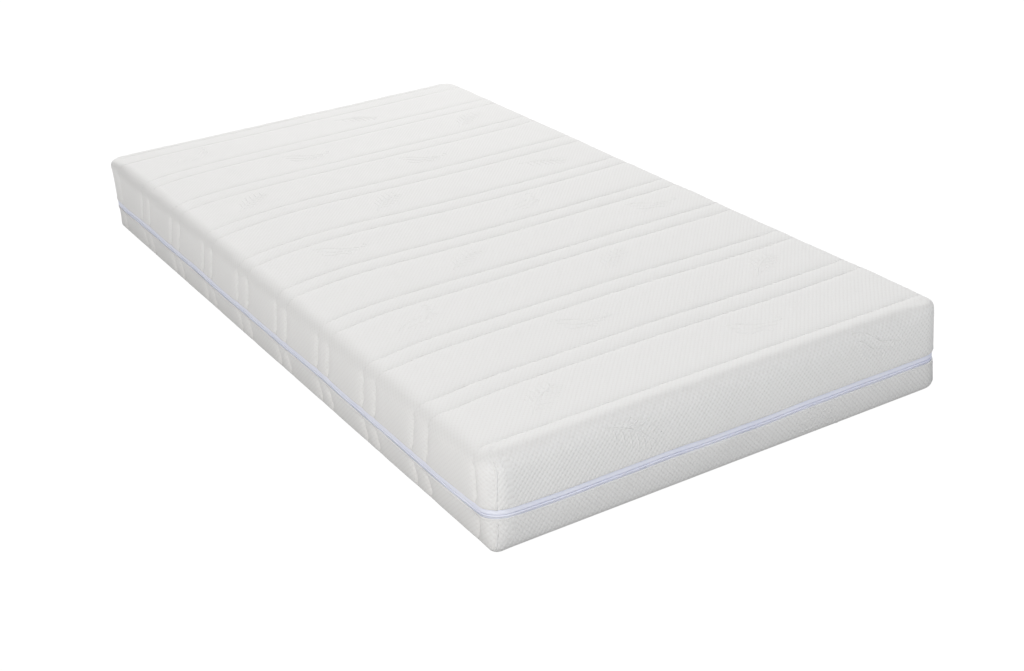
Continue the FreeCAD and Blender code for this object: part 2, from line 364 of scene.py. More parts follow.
# one number for each corner, by its place in knots
cornerLean = {
    "lean": {1: -6.0, 3: 8.0, 5: -7.0, 7: 16.0},
    "height": 165.0,  # the seams reach their full lean at this level
    "reach": 62.0,
}
crispFrom = {"x": (410, 470), "y": (880, 960)}  # the soft shoulder tightens between these places
cornerAtBase = {1: 38.0, 3: 34.0, 5: 40.0, 7: 16.0}  # how tight each upright corner grows at the base


def squaring(half, along, deep, nx, ny):
    # how far the lower half's corners stand out beyond their round
    if half["up"] > 0:
        return np.zeros(np.shape(along))
    out = np.zeros(np.shape(along))
    turn = np.arctan2(np.abs(ny), np.abs(nx))
    for first, tight in cornerAtBase.items():
        here = (along > knots[first]) & (along < knots[first + 1])
        out += np.where(here, crispness(turn, mattress["radius"], tight), 0.0)
    return out * (1 - smooth(deep, 10, half["deep"] - 8))


def crispness(angle, radius, tighter):
    # how far out a tighter round of the same corner lies, seen from the middle of the wider one
    lowAngle = np.minimum(angle, math.pi / 2 - angle)
    spare = radius - tighter
    reach = spare * (np.cos(angle) + np.sin(angle))
    onRound = reach + np.sqrt(np.maximum(reach ** 2 - 2 * spare ** 2 + tighter ** 2, 0))
    onSide = radius / np.cos(lowAngle)
    return np.where(radius * np.tan(lowAngle) < spare, onSide, onRound) - radius


def wallShape(half, along, down):
    # the plain rounded side: its point, the way it faces, and the cloth's relief there
    angle = np.clip(down / half["edge"], 0, math.pi / 2)
    straight = np.maximum(down - half["arc"], 0.0)
    out = half["edge"] * np.sin(angle)
    deep = half["edge"] * (1 - np.cos(angle)) + straight
    side = sideOf(along)
    p = np.zeros(along.shape)
    q = np.zeros(along.shape)
    for number in range(4):
        here = side == number
        p[here], q[here] = wallCloth(half, along[here], down[here], number)
    height = relief(half, p, q, seamGapAt(along))
    shift = stray(half, p, q)
    moved = along + np.where(side == 1, shift, 0) - np.where(side == 3, shift, 0)
    moved = moved + seamSlant(half, along, down)
    x, y, nx, ny = outline(mattress, moved, half["edge"] - out)
    squared = squaring(half, moved, deep, nx, ny)
    point = np.stack([x + nx * squared, y + ny * squared, half["plane"] - half["up"] * deep], -1)
    facing = np.stack([nx * np.sin(angle), ny * np.sin(angle), half["up"] * np.cos(angle)], -1)
    crisp = np.maximum(smooth(x, *crispFrom["x"]), smooth(y, *crispFrom["y"]))
    tighter = half["edge"] + (half["crispEdge"] - half["edge"]) * crisp
    point = point + facing * crispness(angle, half["edge"], tighter)[..., None]
    return point, facing, height, moved


farFromSeam = 99.0


def cloth(half, p, q, lift=0.0):
    # the shown surface at cloth places on the flat face, the long sides and the ends
    p = np.asarray(p, float)
    q = np.asarray(q, float)
    overX = np.abs(p) - half["flatX"]
    overY = np.abs(q) - half["flatY"]
    along = np.where(p > 0, q + cornerY + knots[2], knots[6] + cornerY - q)
    ends = np.where(q > 0, knots[4] + cornerX - p, p + cornerX)
    along = np.where(overX > 0, along, ends)
    along = np.where(along < 0, along + knots[8], along)
    down = np.maximum(np.maximum(overX, overY), 0.0)
    point, facing, height, _ = wallShape(half, along, down)
    flat = (overX <= 0) & (overY <= 0)
    y = q + stray(half, p, q)
    flatHeight = relief(half, p, q, np.full(p.shape, farFromSeam))
    top = np.stack([p, y, np.full(p.shape, half["plane"])], -1)
    point = np.where(flat[..., None], top, point)
    facing = np.where(flat[..., None], np.array([0.0, 0.0, half["up"]]), facing)
    height = np.where(flat, flatHeight, height)
    return point + facing * (height + lift)[..., None], facing


def fillSteps(places, longest):
    # more places between those given, so that no step is longer than this
    result = [places[0]]
    for a, b in zip(places[:-1], places[1:]):
        count = max(1, math.ceil((b - a) / longest - 1e-6))
        result += [a + (b - a) * (i + 1) / count for i in range(count)]
    return np.array(result)


def bothWays(values):
    return [sign * value for value in values for sign in (-1, 1)]


cornerSteps = [0.0, 0.3, 0.55, 0.75, 0.9, 1.0]  # the grid's places across each round corner
leastStep = 0.4


def gridSteps(half, fine):
    # rows follow the quilting lines closely; both ends of rows and columns fill the round corners
    spread = mattress["radius"] - half["edge"]
    rows = bothWays([cornerY + spread * share for share in cornerSteps])
    for line in quiltLines:
        for offset in fine["offsets"]:
            row = line + offset
            if abs(row) < cornerY - 2 or (cornerY + 6 < row < cornerY + spread - 2 and abs(offset) < 3):
                rows.append(row)
    columns = bothWays([cornerX + spread * share for share in cornerSteps])
    rows = np.array(sorted(rows))
    rows = rows[np.concatenate([[True], np.diff(rows) > leastStep])]
    return fillSteps(rows, fine["along"]), fillSteps(sorted(columns), fine["across"])


def flatGrid(plan, edge, rows, columns):
    # a flat grid whose outer corners are pressed into quarter rounds, and its border in order
    cx = plan["halfX"] - plan["radius"]
    cy = plan["halfY"] - plan["radius"]
    spread = plan["radius"] - edge
    p, q = np.meshgrid(columns, rows)
    s = np.clip((np.abs(p) - cx) / spread, 0, 1)
    t = np.clip((np.abs(q) - cy) / spread, 0, 1)
    x = np.sign(p) * np.where(s > 0, cx + spread * s * np.sqrt(1 - t * t / 2), np.abs(p))
    y = np.sign(q) * np.where(t > 0, cy + spread * t * np.sqrt(1 - s * s / 2), np.abs(q))
    high, wide = p.shape
    index = np.arange(high * wide).reshape(high, wide)
    quads = np.stack([index[:-1, :-1], index[:-1, 1:], index[1:, 1:], index[1:, :-1]], -1).reshape(-1, 4)
    start = int(np.argmin(np.abs(columns + cx)))
    ring = list(index[0, start:]) + list(index[1:, -1]) + list(index[-1, -2::-1])
    ring += list(index[-2::-1, 0]) + list(index[0, 1:start])
    ring = np.array(ring)
    bx = x.ravel()[ring]
    by = y.ravel()[ring]
    mx = np.clip(bx, -cx, cx)
    my = np.clip(by, -cy, cy)
    turn = np.arctan2(by - my, bx - mx)
    bend = np.abs((np.diff(turn) + math.pi) % (2 * math.pi) - math.pi)
    step = np.hypot(np.diff(mx), np.diff(my)) + plan["radius"] * bend
    along = np.concatenate([[0.0], np.cumsum(step)])
    return x.ravel(), y.ravel(), quads, ring, along


def ringQuads(first, start, rings):
    # quads between closed rings of vertices: the first by its numbers, the others numbered from start
    quads = []
    before = first
    for number in range(rings):
        here = start + number * len(first) + np.arange(len(first))
        quads.append(bandBetween(before, here))
        before = here
    return quads, before


def bandBetween(before, here):
    return np.stack([before, here, np.roll(here, -1), np.roll(before, -1)], -1)


def loftFaces(steps, count, base, closed):
    # faces along a row of closed cross-sections, capped at both ends unless the row meets itself
    index = base + np.arange(steps * count).reshape(steps, count)
    ahead = np.roll(index, -1, 0)
    quads = np.stack([index, ahead, np.roll(ahead, -1, 1), np.roll(index, -1, 1)], -1)
    if closed:
        return quads.reshape(-1, 4).tolist()
    return quads[:-1].reshape(-1, 4).tolist() + [index[0].tolist(), index[-1][::-1].tolist()]


def unit(vectors):
    return vectors / np.linalg.norm(vectors, axis=1)[:, None]


def squareTo(tangent, normal):
    # the unit direction square to the tangent and nearest to the one given
    return unit(normal - tangent * (normal * tangent).sum(1)[:, None])


def lengthAlong(points):
    step = np.linalg.norm(np.diff(points, axis=0), axis=1)
    return np.concatenate([[0.0], np.cumsum(step)])


def makeObject(name, points, faces, material, cloths=None, smoothShade=True):
    mesh = bpy.data.meshes.new(name)
    mesh.from_pydata((np.asarray(points) * mm).tolist(), [], [list(map(int, f)) for f in faces])
    if cloths is not None:
        layer = mesh.uv_layers.new(name="cloth")
        layer.data.foreach_set("uv", (np.asarray(cloths) * mm).astype(np.float32).ravel())
    mesh.materials.append(material)
    if smoothShade:
        mesh.polygons.foreach_set("use_smooth", [True] * len(mesh.polygons))
    mesh.validate()
    shell = bmesh.new()
    shell.from_mesh(mesh)
    if shell.calc_volume(signed=True) < 0:  # its faces look inward
        mesh.flip_normals()
    shell.free()
    mesh.update()
    piece = bpy.data.objects.new(name, mesh)
    bpy.context.scene.collection.objects.link(piece)
    return piece


def loftObject(name, lofts, material, cloths=None, closed=False):
    # one piece from lofts, each an array of closed cross-sections; cloths gives a place for every point
    points = np.concatenate([loft.reshape(-1, 3) for loft in lofts])
    faces = []
    base = 0
    for loft in lofts:
        steps, count = loft.shape[:2]
        faces += loftFaces(steps, count, base, closed)
        base += steps * count
    if cloths is not None:
        flat = np.concatenate([spots.reshape(-1, 2) for spots in cloths])
        cloths = flat[[v for face in faces for v in face]]
    return makeObject(name, points, faces, material, cloths)


def standFor(piece, body, node):
    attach(piece, body)
    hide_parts(node)


hemRoll = {
    "angles": [math.radians(a) for a in (22, 45, 68, 90)],
    "recess": 2.0,  # the wadding stops this far behind the turned edge
    "least": 0.15,  # radius of the turn
    "calm": 0.6,  # share of the relief that is gone where the cloth has turned in
}


def coverSkin(half, grid, depth, rolled, amount):
    # one surface of a cover half: its flat grid, then its rings down to the hem
    shift = stray(half, grid["x"], grid["y"])
    height = relief(half, grid["x"], grid["y"], grid["seamGap"])
    z = half["plane"] + half["up"] * (height * amount - depth)
    skins = [np.stack([grid["x"], grid["y"] + shift, z], -1)]
    along = grid["along"]
    roll = tapeDepth(along)
    straight = half["deep"] - half["up"] * hemWave(along) - roll - half["edge"]
    downs = [np.full(along.shape, half["edge"] * angle) for angle in grid["edgeAngles"]]
    downs += [half["arc"] + straight * share for share in grid["wallShares"]]
    cloths = []
    for down in downs:
        point, facing, height, moved = wallShape(half, along, down)
        skins.append(point + facing * (height * amount - depth)[:, None])
        cloths.append((moved, down))
    for angle in hemRoll["angles"]:
        if rolled:
            turned = facing * math.cos(angle)
            turned[:, 2] -= half["up"] * math.sin(angle)
            kept = height * amount * (1 - hemRoll["calm"] * math.sin(angle))
            reach = np.maximum(roll - depth, hemRoll["least"]) + kept
            skins.append(point - facing * roll[:, None] + turned * reach[:, None])
        else:
            drop = np.zeros(point.shape)
            drop[:, 2] = -half["up"] * np.maximum(roll - hemRoll["recess"], 0.2) * math.sin(angle)
            skins.append(point + facing * (height * amount - depth)[:, None] + drop)
        cloths.append((moved, down + roll * angle))
    return np.concatenate(skins), cloths


def coverGrid(half, fine):
    rows, columns = gridSteps(half, fine)
    x, y, quads, ring, along = flatGrid(mattress, half["edge"], rows, columns)
    seamGap = np.full(x.shape, farFromSeam)
    overX = np.abs(x) - cornerX
    overY = np.abs(y) - cornerY
    lean = np.arctan2(overY, overX)
    inCorner = (overX > 0) & (overY > 0)
    reach = np.hypot(overX, overY)
    gapThere = reach * np.abs(lean - math.pi / 4) + (mattress["radius"] - half["edge"] - reach) * 1.5
    seamGap[inCorner] = gapThere[inCorner] + 2
    edgeCount = max(3, round(half["arc"] / fine["edge"]))
    wallCount = fine["wall"]
    return {
        "x": x,
        "y": y,
        "quads": quads,
        "ring": ring,
        "along": along,
        "seamGap": seamGap,
        "edgeAngles": [math.pi / 2 * (i + 1) / edgeCount for i in range(edgeCount)],
        "wallShares": [(i + 1) / wallCount for i in range(wallCount)],
    }


def coverCloths(half, grid, cloths):
    # where each corner of each face lies on the cloth
    flat = np.stack([grid["x"], grid["y"] + stray(half, grid["x"], grid["y"])], -1)
    uvs = [flat[grid["quads"]].reshape(-1, 2)]
    along = grid["along"]
    side = sideOf((along + np.append(along[1:], knots[8])) / 2)
    beforeMoved = cloths[0][0]
    beforeDown = np.zeros(along.shape)
    for moved, down in cloths:
        nextMoved = np.append(moved[1:], knots[8])
        a = np.stack([beforeMoved, moved, nextMoved, np.append(beforeMoved[1:], knots[8])], -1)
        d = np.stack([beforeDown, down, np.roll(down, -1), np.roll(beforeDown, -1)], -1)
        quad = np.zeros(a.shape + (2,))
        for number in range(4):
            here = side == number
            p, q = wallCloth(half, a[here], d[here], number)
            quad[here] = np.stack(np.broadcast_arrays(p, q), -1)
        uvs.append(quad.reshape(-1, 2))
        beforeMoved = moved
        beforeDown = down
    return np.concatenate(uvs)


def coverShell(name, half, fine, outer, inner, material):
    # a closed shell between two surfaces; outer and inner are (depth, rolled at the hem, relief kept)
    grid = coverGrid(half, fine)
    outside, cloths = coverSkin(half, grid, *outer)
    inside, _ = coverSkin(half, grid, *inner)
    rings, last = ringQuads(grid["ring"], len(grid["x"]), len(cloths))
    skin = np.concatenate([grid["quads"]] + rings)
    rim = bandBetween(last, last + len(outside))
    uv = coverCloths(half, grid, cloths).reshape(-1, 4, 2)
    rimUv = np.repeat(uv[-len(last):, 1:2], 4, 1)
    faces = np.concatenate([skin, skin[:, ::-1] + len(outside), rim])
    uvs = np.concatenate([uv, uv[:, ::-1], rimUv])
    if half["up"] < 0:
        faces = faces[:, ::-1]
        uvs = uvs[:, ::-1]
    shell = makeObject(name, np.concatenate([outside, inside]), faces, material, uvs.reshape(-1, 2))
    # the cut edge inside the hem stays sharp, so the turned cloth before it is lit as a round
    shell.data.polygons.foreach_set("use_smooth", np.arange(len(faces)) < len(faces) - len(last))
    return shell


def linear(hexText):
    values = [int(hexText[i:i + 2], 16) / 255 for i in (1, 3, 5)]
    return [v / 12.92 if v <= 0.04045 else ((v + 0.055) / 1.055) ** 2.4 for v in values] + [1.0]


def addNode(tree, kind, settings=None, links=None):
    made = tree.nodes.new("ShaderNode" + kind)
    for name, value in (settings or {}).items():
        if isinstance(name, int) or name in made.inputs:
            made.inputs[name].default_value = value
        else:
            setattr(made, name, value)
    for name, socket in (links or {}).items():
        tree.links.new(socket, made.inputs[name])
    return made


def newMaterial(name, roughness, settings=None):
    material = bpy.data.materials.new(name)
    material.use_nodes = True
    tree = material.node_tree
    surface = tree.nodes["Principled BSDF"]
    surface.inputs["Roughness"].default_value = roughness
    for key, value in (settings or {}).items():
        surface.inputs[key].default_value = value
    return material, tree, surface


def jacquardKnit():
    # Double-jersey polyester, jacquard knitted: matt and soft, with a lattice of small raised diamonds.
    look = {
        "colour": "#F2F2F1",
        # painted shade: the lattice's low places take this darker colour
        "paintedValleyShade": "#EDECEB",
        "acrossPitch": 9.6,  # diamond, across and along
        "alongPitch": 11.6,
        "relief": 0.50,
        "topShare": 0.3,  # of the relief where the cloth lies flat
        "sideShare": 0.3,  # where it is pulled down the long sides
        "endShare": 1.1,  # and at the two ends, where it hangs more freely
        "stitch": 1.7,  # real stitches are 0.8 mm; drawn twice as coarse so that they show
        "stitchRelief": 0.06,
        "fuzz": 1 / 0.9,  # loose fibre ends between the stitches
    }
    settings = {"IOR": 1.5, "Sheen Weight": 0.12}
    material, tree, surface = newMaterial("jacquardKnitPolyester", 0.86, settings)
    place = addNode(tree, "UVMap", {"uv_map": "cloth"})
    xy = addNode(tree, "SeparateXYZ", links={0: place.outputs["UV"]})
    ridges = []
    perAcross = math.pi / (look["acrossPitch"] * mm)
    perAlong = math.pi / (look["alongPitch"] * mm)
    for slope, strength in ((-1, 1.0), (1, 0.72)):
        u = addNode(tree, "Math", {"operation": "MULTIPLY", 1: perAcross}, {0: xy.outputs[0]})
        v = addNode(tree, "Math", {"operation": "MULTIPLY", 1: slope * perAlong}, {0: xy.outputs[1]})
        turn = addNode(tree, "Math", {"operation": "ADD"}, {0: u.outputs[0], 1: v.outputs[0]})
        wave = addNode(tree, "Math", {"operation": "SINE"}, {0: turn.outputs[0]})
        ridge = addNode(tree, "Math", {"operation": "ABSOLUTE"}, {0: wave.outputs[0]})
        scaled = addNode(tree, "Math", {"operation": "MULTIPLY", 1: strength}, {0: ridge.outputs[0]})
        ridges.append(scaled.outputs[0])
    lattice = addNode(tree, "Math", {"operation": "ADD"}, {0: ridges[0], 1: ridges[1]})
    facing = addNode(tree, "SeparateXYZ", links={0: addNode(tree, "TexCoord").outputs["Normal"]})
    flat = addNode(tree, "Math", {"operation": "ABSOLUTE"}, {0: facing.outputs[2]})
    onEnd = addNode(tree, "Math", {"operation": "ABSOLUTE"}, {0: facing.outputs[1]})
    side = addNode(
        tree, "MapRange", {1: 0.2, 2: 0.9, 3: look["sideShare"], 4: look["topShare"]}, {0: flat.outputs[0]}
    )
    share = addNode(
        tree, "MapRange", {1: 0.15, 2: 0.8, 4: look["endShare"]}, {0: onEnd.outputs[0], 3: side.outputs[0]}
    )
    raised = addNode(tree, "Math", {"operation": "MULTIPLY"}, {0: lattice.outputs[0], 1: share.outputs[0]})
    stitches = addNode(
        tree,
        "TexVoronoi",
        {"Scale": 1 / (look["stitch"] * mm), "Randomness": 0.35},
        {"Vector": place.outputs["UV"]},
    )
    fuzz = addNode(
        tree,
        "TexNoise",
        {"Scale": 1 / (look["fuzz"] * mm), "Detail": 2.0},
        {"Vector": place.outputs["UV"]},
    )
    mixed = addNode(
        tree, "Math", {"operation": "ADD"}, {0: stitches.outputs["Distance"], 1: fuzz.outputs["Fac"]}
    )
    fineBump = addNode(
        tree,
        "Bump",
        {"Strength": 1.0, "Distance": look["stitchRelief"] * mm},
        {"Height": mixed.outputs[0]},
    )
    bump = addNode(
        tree,
        "Bump",
        {"Strength": 1.0, "Distance": look["relief"] * mm},
        {"Height": raised.outputs[0], "Normal": fineBump.outputs[0]},
    )
    # painted shade: the knit is coloured darker in the lattice's valleys, where shade would fall
    tone = addNode(tree, "MapRange", {1: 0.2, 2: 1.2, 3: 0.0, 4: 1.0}, {0: lattice.outputs[0]})
    colour = addNode(
        tree,
        "MixRGB",
        {"Color1": linear(look["paintedValleyShade"]), "Color2": linear(look["colour"])},
        {"Fac": tone.outputs[0]},
    )
    tree.links.new(colour.outputs[0], surface.inputs["Base Color"])
    tree.links.new(bump.outputs[0], surface.inputs["Normal"])
    return material


fibreMottle = 1000 / 14  # soft patches of tone, about a hand wide


def plainFibre(name, colour, dark, roughness, size, reliefHeight, squeeze=(1, 1, 1), settings=None):
    # Cloth, felt or foam in one colour: soft mottling, and a bump at the fibre's or cell's own size.
    material, tree, surface = newMaterial(name, roughness, settings)
    place = addNode(tree, "TexCoord").outputs["Object"]
    scaled = addNode(tree, "Mapping", {"Scale": squeeze}, {"Vector": place}).outputs[0]
    cells = addNode(tree, "TexNoise", {"Scale": 1 / (size * mm), "Detail": 3.0}, {"Vector": scaled})
    mottle = addNode(tree, "TexNoise", {"Scale": 1 / (fibreMottle * mm), "Detail": 2.0}, {"Vector": place})
    factors = {0: cells.outputs["Fac"], 1: mottle.outputs["Fac"]}
    both = addNode(tree, "Math", {"operation": "MULTIPLY"}, factors)
    tone = addNode(tree, "MapRange", {1: 0.12, 2: 0.38}, {0: both.outputs[0]})
    shade = addNode(
        tree, "MixRGB", {"Color1": linear(dark), "Color2": linear(colour)}, {"Fac": tone.outputs[0]}
    )
    bump = addNode(
        tree, "Bump", {"Strength": 1.0, "Distance": reliefHeight * mm}, {"Height": cells.outputs["Fac"]}
    )
    tree.links.new(shade.outputs[0], surface.inputs["Base Color"])
    tree.links.new(bump.outputs[0], surface.inputs["Normal"])
    return material


knit = jacquardKnit()
wadding = plainFibre("polyesterFibreWadding", "#F4F4F2", "#E4E3E0", 0.95, 2.2, 0.5, (1, 1, 3))
backing = plainFibre("spunbondPolypropylene", "#F0F0F0", "#E0E1E2", 0.8, 1.4, 0.12)
thread = plainFibre("twistedPolyesterThread", "#F5F4F3", "#E3E2E2", 0.6, 0.5, 0.06)
# painted light: the tape glows a faint blue of its own, standing in for its optical brightener
paintedTapeGlow = {"Emission Color": linear("#A9BCFF"), "Emission Strength": 0.05}
tapeCloth = plainFibre("wovenPolyesterTape", "#F5F7FF", "#ECEFFC", 0.62, 0.9, 0.08, settings=paintedTapeGlow)
coilNylon = plainFibre("polyesterMonofilament", "#F1F3FC", "#E6EAF7", 0.35, 1.2, 0.03)
memoryFoam = plainFibre("viscoelasticFoamCut", "#F3F0E6", "#E6E1D2", 0.92, 1.1, 0.22)
supportFoam = plainFibre("highResilienceFoamCut", "#E9EDF0", "#D3D9DE", 0.94, 1.8, 0.4)
stockinette = plainFibre("stockinetteCottonKnit", "#EFEDE8", "#E6E3DC", 0.9, 1.5, 0.15, (1, 0.25, 0.25))
print("materials ready")


fineCloth = {
    # steps beside each quilting line, then the longest steps elsewhere and the number of rings down a side
    "offsets": [0, 1.1, -1.1, 2.7, -2.7, 5, -5, 8.5, -8.5, 13.5, -13.5],
    "along": 13.0,
    "across": 12.6,
    "edge": 3.7,
    "wall": 10,
}
# the hidden layers lie smooth, so they need fewer steps
coarseCloth = {"offsets": [0, 8, -8], "along": 40.0, "across": 40.0, "edge": 9.0, "wall": 3}
# for each layer its outer and its inner surface: depth, rolled at the hem, share of the relief
coverLayers = {
    "face": ((0.0, True, 1.0), (1.7, True, 1.0)),
    "wadding": ((2.0, True, 1.0), (9.2, False, 0.0)),
    "backing": ((9.25, False, 0.0), (10.0, False, 0.0)),
}
for name, half in halves.items():
    body = name + "_cover"
    face = coverShell(name + "FaceKnit", half, fineCloth, *coverLayers["face"], knit)
    pad = coverShell(name + "Wadding", half, coarseCloth, *coverLayers["wadding"], wadding)
    lining = coverShell(name + "Backing", half, coarseCloth, *coverLayers["backing"], backing)
    standFor(face, body, body + "_face")
    standFor(pad, body, body + "_wadding")
    standFor(lining, body, body + "_backing")
    print(body, "made:", len(face.data.polygons), "faces in its knit")

zipSetup = {
    "tapeThick": 0.75,
    # the tape's places across, from the bead at the chain to the sewn edge behind the hem, with the
    # depth of its front at each; the coil's front
    "bead": (0, 0.6, 1.5, 2.6),
    "pastHem": (-0.6, 1.5, 5, 12),
    "tapeFront": (0.90, 0.35, -0.30, -0.60, -0.45, -0.15, 0.7, 2.8, 4.9),
    "coilFront": 0.83,
    "flatter": 0.8,  # share of the tape's bulge that is gone where the slider runs
    "slack": ((0.16, 37.0, 0), (0.1, 13.0, 1)),  # waves of the tape: height, length, phase
    "folded": (0.9, 0.01),  # the parted tape ends this far before the hem, and the rest is squeezed
    "chain": 64.6,  # middle of the closed zip
    "gap": 0.8,  # from there to each tape and coil, where the slider runs
    "closeGap": 0.3,  # the same where nothing runs
    "coilDepth": (0.85, 3.35),  # behind the tapes' front
    "coilHigh": 2.7,
    "coilPitch": 2.9,  # real turns are 1.5 mm apart; drawn twice as coarse so that they show
    "coilWire": 0.75,
    "coilSteps": 7,  # in one turn
    "parked": (920.0, 943.3),  # the upper tape and coil are open here, along the side at +X
}


def chainZ(along):
    return zipSetup["chain"] + hemWave(along)


def sideSteps(longest, extra=()):
    # places round the sides: close together in the corners
    places = list(knots) + list(extra)
    for i in (1, 3, 5, 7):
        places += [knots[i] + (knots[i + 1] - knots[i]) * k / 10 for k in range(1, 10)]
    return fillSteps(sorted(set(places)), longest)[:-1]


def parkedPlaces():
    return [knots[2] + cornerY + y for y in zipSetup["parked"]]


def chainGap(along):
    # the tapes' edges all but meet, except where the slider's wedge runs between them
    return zipSetup["closeGap"] + (zipSetup["gap"] - zipSetup["closeGap"]) * sliderSide(along)


def zipTape(name, up):
    # a woven strip: its chain edge is a soft bead over the coil, the rest runs up behind the hem
    first, last = parkedPlaces()
    along = sideSteps(9.0, (first - 0.2, first + 0.2, last - 0.2, last + 0.2))
    shown = abs(halves[name]["hem"] - zipSetup["chain"]) - zipSetup["gap"]
    reach = [*zipSetup["bead"], 0.5 * shown] + [shown + further for further in zipSetup["pastHem"]]
    front = zipSetup["tapeFront"]
    back = [max(zipSetup["coilFront"], f + zipSetup["tapeThick"]) for f in front]
    parted = (along > first) & (along < last) & (up > 0)
    short, squeeze = zipSetup["folded"]
    folded = shown - short
    # the tape waves and bulges a little, but runs flat where the slider passes
    guided = sliderSide(along)
    slack = sum(high * np.sin(along / length + phase) for high, length, phase in zipSetup["slack"])
    slack = slack * (1 - guided)
    points = []
    cloths = []
    for distance, depth in [*zip(reach, front), *zip(reversed(reach), reversed(back))]:
        away = np.where(parted, max(distance, folded + squeeze * (distance - folded)), distance)
        z = chainZ(along) + up * (away + chainGap(along))
        inward = depth * (1 - zipSetup["flatter"] * guided) if depth < 0 else depth
        x, y, _, _ = outline(mattress, along, tapeDepth(along) + inward + slack * (distance < shown))
        points.append(np.stack([x, y, z], -1))
        cloths.append(np.stack([along, z + depth], -1))
    tape = [np.stack(points, 1)]
    return loftObject(name + "ZipTape", tape, tapeCloth, [np.stack(cloths, 1)], closed=True)


def zipCoil(name, up):
    # one monofilament wound in a flattened spiral behind the tape's edge
    first, last = parkedPlaces()
    start, end = (last, roundTheSides + first) if up > 0 else (0.0, roundTheSides)
    turns = round((end - start) / zipSetup["coilPitch"])
    samples = zipSetup["coilSteps"]
    count = turns * samples
    turn = np.arange(count) / samples * 2 * math.pi
    along = start + (end - start) * np.arange(count) / count
    near, far = zipSetup["coilDepth"]
    wire = zipSetup["coilWire"] / 2
    middle = (near + far) / 2
    wide = (far - near) / 2 - wire
    tall = zipSetup["coilHigh"] / 2 - wire
    wrapped = np.mod(along, roundTheSides)
    x, y, nx, ny = outline(mattress, wrapped, middle + tapeDepth(wrapped))
    out = np.stack([nx, ny, np.zeros(count)], -1)
    level = chainZ(wrapped) + up * (chainGap(wrapped) + zipSetup["coilHigh"] / 2)
    axis = np.stack([x, y, level], -1)
    radial = out * (np.cos(turn) * wide)[:, None]
    radial[:, 2] += np.sin(turn) * tall
    centres = axis + radial
    tangent = np.roll(centres, -1, 0) - np.roll(centres, 1, 0)
    if up > 0:
        tangent[0] = centres[1] - centres[0]
        tangent[-1] = centres[-1] - centres[-2]
    tangent = unit(tangent)
    normal = squareTo(tangent, radial)
    binormal = np.cross(tangent, normal)
    sides = np.stack([normal, binormal, -normal, -binormal], 1)
    return loftObject(name + "ZipCoil", [centres[:, None] + wire * sides], coilNylon, closed=up < 0)


for name, half in halves.items():
    tape = zipTape(name, half["up"])
    standFor(tape, name + "_cover", "zip_tape_" + name)
    standFor(zipCoil(name, half["up"]), name + "_cover", "zip_coil_" + name)
print("zip tapes and coils made")

stitching = {
    "quilt": (4.9, 5.2),  # length of a stitch, and from one to the next
    "seam": (3.4, 4.2),
    "wide": 0.9,
    "round": 0.36,  # height of the thread's section, as a share of its width
    "hemStitch": 3.7,  # from the hem to its row of stitches
    "lineEnd": 7.0,  # quilting stitches stop this far before the hem
    "arch": ((-0.33, 0.05), (0.0, 0.32), (0.33, 0.05)),  # share of the length from the middle, height
    "sunk": 0.45,  # how far both ends dip into the cloth
}


def resample(points, normals, pitch):
    # even places along a line, with the way it runs and the way it faces there
    reach = lengthAlong(points)
    count = max(2, int(reach[-1] / pitch))
    places = (np.arange(count) + 0.5) * reach[-1] / count

    def sample(values, s):
        return np.stack([np.interp(s, reach, values[:, k]) for k in range(3)], -1)

    ahead = sample(points, np.minimum(places + 1.5, reach[-1]))
    tangent = unit(ahead - sample(points, np.maximum(places - 1.5, 0)))
    return sample(points, places), tangent, squareTo(tangent, sample(normals, places))


def stitchMesh(name, tracks, length, pitch):
    # short arched lengths of thread, each three square rings and two points
    faces = []
    for k in (0, 4):
        faces += [[k + j, k + (j + 1) % 4, k + 4 + (j + 1) % 4, k + 4 + j] for j in range(4)]
    for j in range(4):
        faces += [[12, (j + 1) % 4, j], [13, 8 + j, 8 + (j + 1) % 4]]
    points = []
    for line, normals in tracks:
        middle, tangent, normal = resample(line, normals, pitch)
        across = np.cross(tangent, normal) * stitching["wide"] / 2
        rise = normal * stitching["wide"] * stitching["round"]
        verts = []
        for share, lift in stitching["arch"]:
            centre = middle + tangent * (length * share) + normal * lift
            verts += [centre + across, centre + rise, centre - across, centre - rise]
        for share in (-0.5, 0.5):
            verts.append(middle + tangent * (length * share) - normal * stitching["sunk"])
        points.append(np.stack(verts, 1))
    points = np.concatenate(points)
    each = points.shape[1]
    allFaces = [[each * number + v for v in face] for number in range(len(points)) for face in faces]
    return makeObject(name, points.reshape(-1, 3), allFaces, thread)


def quiltTrack(half, line):
    # one quilting line from hem to hem, over both rounded edges where it can
    fullReach = half["flatX"] + half["arc"] + half["deep"] - half["edge"] - stitching["lineEnd"]
    reach = fullReach if abs(line) < cornerY - 5 else cornerX - 4
    p = np.arange(-reach, reach + 1, 2.0)
    return cloth(half, p, np.full(p.shape, line), 0.1)


def hemTrack(half):
    along = np.append(sideSteps(4.0), roundTheSides)
    down = half["arc"] + half["deep"] - half["up"] * hemWave(along) - half["edge"] - stitching["hemStitch"]
    roll = tapeDepth(along)
    angle = np.arcsin(np.clip((roll - stitching["hemStitch"]) / roll, 0, 1))
    sunk = roll * (1 - np.cos(angle))
    point, facing, height, _ = wallShape(half, along, down)
    return point + facing * (height - sunk + 0.05)[:, None], facing


for name, half in halves.items():
    tracks = [quiltTrack(half, line) for line in quiltLines[1:]]
    rows = stitchMesh(name + "QuiltStitches", tracks, *stitching["quilt"])
    hemRow = stitchMesh(name + "HemStitches", [hemTrack(half)], *stitching["seam"])
    standFor(rows, name + "_cover", name + "_quilt_thread")
    standFor(hemRow, name + "_cover", name + "_zip_seam_thread")
print("stitching made")

